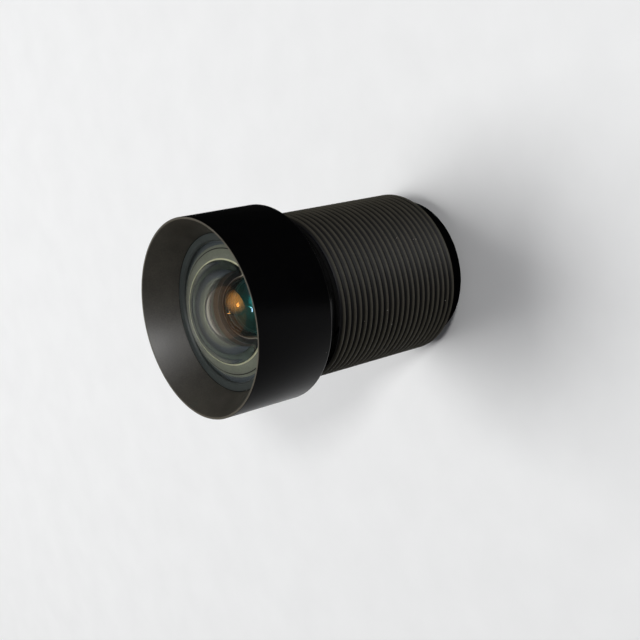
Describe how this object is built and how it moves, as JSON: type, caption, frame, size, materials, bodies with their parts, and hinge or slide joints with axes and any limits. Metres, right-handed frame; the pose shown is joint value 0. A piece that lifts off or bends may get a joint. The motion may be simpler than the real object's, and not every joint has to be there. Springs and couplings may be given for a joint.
{
  "type": "board camera lens",
  "caption": "Fixed-focus board camera lens: conical hood, flared head, fine mounting thread, stacked glass elements and a rear filter.",
  "frame": {"origin": "centre of the rear face of the barrel, on the surface that the lens stands on", "axes": "+Z along the optical axis, from the rear face to the open hood; X and Y are any pair across it"},
  "size_m": [0.0138, 0.0138, 0.0201],
  "materials": {
    "anodised_barrel": "black anodised, satin",
    "anodised_ring": "black anodised, fine turned",
    "blackened_spacer": "black anodised, matte",
    "coated_glass": "polished, anti-reflection coated, ground rim",
    "filter_glass": "polished, interference coated",
    "seal_rubber": "matte",
    "baffle_film": "matte"
  },
  "bodies": {
    "root": {"barrel": "anodised_barrel", "front_retaining_ring": "anodised_ring", "front_seal": "seal_rubber", "front_lens": "coated_glass", "front_baffle": "baffle_film", "spacer_1": "blackened_spacer", "second_lens": "coated_glass", "middle_baffle": "baffle_film", "spacer_2": "blackened_spacer", "third_lens": "coated_glass", "spacer_3": "blackened_spacer", "aperture_stop": "baffle_film", "spacer_4": "blackened_spacer", "doublet_front_lens": "coated_glass", "doublet_rear_lens": "coated_glass", "rear_baffle": "baffle_film", "spacer_5": "blackened_spacer", "rear_lens": "coated_glass", "ir_cut_filter": "filter_glass", "filter_retaining_ring": "blackened_spacer"}
  },
  "joints": []
}
